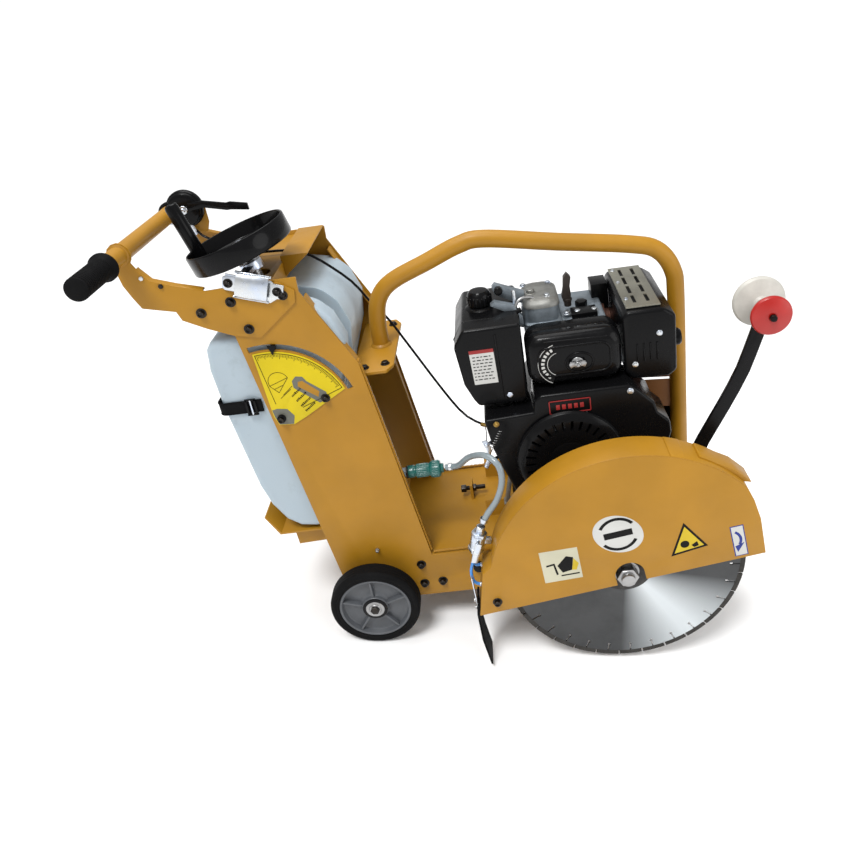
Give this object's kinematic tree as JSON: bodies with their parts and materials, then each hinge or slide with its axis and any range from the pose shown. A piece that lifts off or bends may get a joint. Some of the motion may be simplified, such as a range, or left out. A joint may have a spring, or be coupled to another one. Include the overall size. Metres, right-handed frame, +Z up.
{
  "type": "walk-behind floor saw",
  "caption": "Walk-behind floor saw: diesel engine belt-driving a guarded diamond blade, water tank in the console, crank-down wheels for depth, front pointer and side handle.",
  "frame": {"origin": "centre of the footprint on the floor, under the middle of the bounding box", "axes": "+X forward along the cut, +Y to the machine's left (away from the blade), +Z up; the nose stands raised 9 degrees on its front wheels"},
  "size_m": [1.1528, 0.55, 0.8727],
  "materials": {
    "yellow_paint": "glossy ochre yellow enamel",
    "black_paint": "semi-gloss black",
    "black_plastic": "moulded black",
    "grip_rubber": "ribbed black rubber",
    "tyre_rubber": "solid black rubber",
    "mat_rubber": "flexible black mat",
    "tank_plastic": "translucent milky polyethylene",
    "strap_webbing": "black woven webbing",
    "steel": "turned steel",
    "blade_steel": "ground steel disc",
    "zinc": "bright zinc plate",
    "aluminium": "sand-cast aluminium",
    "grey_rim": "grey moulded hub",
    "dial_face": "printed yellow scale",
    "red_plastic": "red moulded roller",
    "white_plastic": "off-white moulded roller",
    "clear_hose": "clear braided hose",
    "blue_hose": "blue nylon tube",
    "green_plastic": "teal moulded fitting"
  },
  "bodies": {
    "frame": {"right_side_plate": "yellow_paint", "left_side_plate": "yellow_paint", "engine_deck": "yellow_paint", "roll_bar": "yellow_paint", "console_cover": "yellow_paint", "right_handle_arm": "yellow_paint", "left_handle_arm": "yellow_paint", "handle_bar": "yellow_paint", "right_grip": "grip_rubber", "throttle_body": "black_plastic", "water_tank": "tank_plastic", "hose_connector": "green_plastic", "tank_strap": "strap_webbing", "tank_tray": "yellow_paint", "depth_dial": "dial_face", "screw_bracket": "zinc", "rear_axle": "steel", "arbor_bearing_left": "black_paint", "arbor_bearing_right": "black_paint", "drive_belt": "tyre_rubber", "belt_guard": "yellow_paint", "blade_guard": "yellow_paint", "guard_flap": "mat_rubber", "water_valve": "zinc", "feed_hose": "clear_hose", "blue_hose_lower": "blue_hose", "blue_hose_upper": "blue_hose", "crankcase": "black_paint", "fan_housing": "black_paint", "cylinder_head": "aluminium", "air_filter": "black_plastic", "muffler": "black_paint", "fuel_tank": "black_paint", "throttle_cable": "black_plastic"},
    "handwheel": {"depth_handwheel": "black_plastic", "depth_screw": "steel"},
    "crank_knob": {"crank_knob": "black_plastic"},
    "swing_gear": {"swing_frame": "black_paint"},
    "screw_nut": {"screw_nut": "steel"},
    "dial_pointer": {"depth_pointer": "black_paint"},
    "rear_wheel_left": {"rear_rim_left": "grey_rim", "rear_tyre_left": "tyre_rubber"},
    "rear_wheel_right": {"rear_rim_right": "grey_rim", "rear_tyre_right": "tyre_rubber"},
    "front_wheel_left": {"front_wheel_left": "tyre_rubber"},
    "front_wheel_right": {"front_wheel_right": "tyre_rubber"},
    "arbor": {"arbor_shaft": "steel", "saw_blade": "blade_steel", "outer_flange": "steel", "arbor_nut": "steel"},
    "crank": {"crankshaft": "steel"},
    "throttle_lever": {"throttle_lever": "black_paint"},
    "decompression_lever": {"decompression_lever": "zinc"},
    "fuel_cap": {"fuel_cap": "black_plastic"},
    "tank_cap": {"tank_cap": "black_plastic"},
    "pointer_arm": {"pointer_arm": "black_paint"},
    "red_roller": {"pointer_roller_red": "red_plastic"},
    "white_roller": {"pointer_roller_white": "white_plastic"},
    "valve_lever": {"valve_lever": "zinc"},
    "tension_bolt": {"tension_bolt": "zinc"}
  },
  "joints": [
    {"name": "handwheel_turn", "type": "hinge", "parent": "frame", "child": "handwheel", "pos_m": [-0.36769, -0.037, 0.78633], "axis": [-0.4067, 0, 0.9135], "range_deg": [0, 3600]},
    {"name": "crank_knob_spin", "type": "hinge", "parent": "handwheel", "child": "crank_knob", "pos_m": [-0.43854, -0.037, 0.76353], "axis": [-0.4067, 0, 0.9135], "continuous": true},
    {"name": "depth_swing", "type": "hinge", "parent": "frame", "child": "swing_gear", "pos_m": [0.05761, 0.038, 0.15306], "axis": [0, -1, 0], "range_deg": [0, 34.01]},
    {"name": "nut_travel", "type": "slide", "parent": "frame", "child": "screw_nut", "axis": [0.4067, 0, -0.9135], "range_m": [0, 0.08006]},
    {"name": "pointer_turn", "type": "hinge", "parent": "frame", "child": "dial_pointer", "pos_m": [-0.31166, -0.112, 0.49652], "axis": [0, 1, 0], "range_deg": [0, 59.01]},
    {"name": "rear_wheel_left_spin", "type": "hinge", "parent": "frame", "child": "rear_wheel_left", "pos_m": [-0.15005, 0.229, 0.0898], "axis": [0, 1, 0], "continuous": true},
    {"name": "rear_wheel_right_spin", "type": "hinge", "parent": "frame", "child": "rear_wheel_right", "pos_m": [-0.15005, -0.153, 0.0898], "axis": [0, 1, 0], "continuous": true},
    {"name": "front_wheel_left_spin", "type": "hinge", "parent": "swing_gear", "child": "front_wheel_left", "pos_m": [0.26127, 0.122, 0.0498], "axis": [0, 1, 0], "continuous": true},
    {"name": "front_wheel_right_spin", "type": "hinge", "parent": "swing_gear", "child": "front_wheel_right", "pos_m": [0.26127, -0.046, 0.0498], "axis": [0, 1, 0], "continuous": true},
    {"name": "arbor_spin", "type": "hinge", "parent": "frame", "child": "arbor", "pos_m": [0.32882, 0.038, 0.23702], "axis": [0, 1, 0], "continuous": true},
    {"name": "crank_spin", "type": "hinge", "parent": "frame", "child": "crank", "pos_m": [0.24549, 0.038, 0.3924], "axis": [0, 1, 0], "continuous": true},
    {"name": "throttle_turn", "type": "hinge", "parent": "frame", "child": "throttle_lever", "pos_m": [-0.52366, 0.13, 0.81224], "axis": [0, -1, 0], "range_deg": [0, 60]},
    {"name": "decompression_turn", "type": "hinge", "parent": "frame", "child": "decompression_lever", "pos_m": [0.21827, 0.058, 0.66651], "axis": [-0.1564, 0, 0.9877], "range_deg": [0, 60], "stiffness_Nm_per_rad": 0.02},
    {"name": "fuel_cap_turn", "type": "hinge", "parent": "frame", "child": "fuel_cap", "pos_m": [0.04076, 0.038, 0.71332], "axis": [-0.1564, 0, 0.9877], "range_deg": [0, 90]},
    {"name": "tank_cap_turn", "type": "hinge", "parent": "frame", "child": "tank_cap", "pos_m": [-0.41868, 0.058, 0.6608], "axis": [-0.3983, 0, 0.9173], "range_deg": [0, 360]},
    {"name": "pointer_fold", "type": "hinge", "parent": "frame", "child": "pointer_arm", "pos_m": [0.42771, -0.12, 0.27749], "axis": [0, 1, 0], "range_deg": [0, 95]},
    {"name": "red_roller_spin", "type": "hinge", "parent": "pointer_arm", "child": "red_roller", "pos_m": [0.53048, -0.147, 0.72811], "axis": [0, 1, 0], "continuous": true},
    {"name": "white_roller_spin", "type": "hinge", "parent": "pointer_arm", "child": "white_roller", "pos_m": [0.53048, -0.088, 0.72811], "axis": [0, 1, 0], "continuous": true},
    {"name": "valve_turn", "type": "hinge", "parent": "frame", "child": "valve_lever", "pos_m": [0.05011, -0.212, 0.28505], "axis": [0, 1, 0], "range_deg": [0, 90]},
    {"name": "tension_bolt_turn", "type": "hinge", "parent": "frame", "child": "tension_bolt", "pos_m": [0.04199, 0.074, 0.21336], "axis": [0.9877, 0, 0.1564], "range_deg": [0, 720]}
  ],
  "couplings": [
    {"joint": "depth_swing", "follows": "handwheel_turn", "ratio": 0.0094444},
    {"joint": "nut_travel", "follows": "handwheel_turn", "m_per_rad": 0.0012739},
    {"joint": "pointer_turn", "follows": "handwheel_turn", "ratio": 0.016389},
    {"joint": "crank_spin", "follows": "arbor_spin", "ratio": 1.0909}
  ]
}
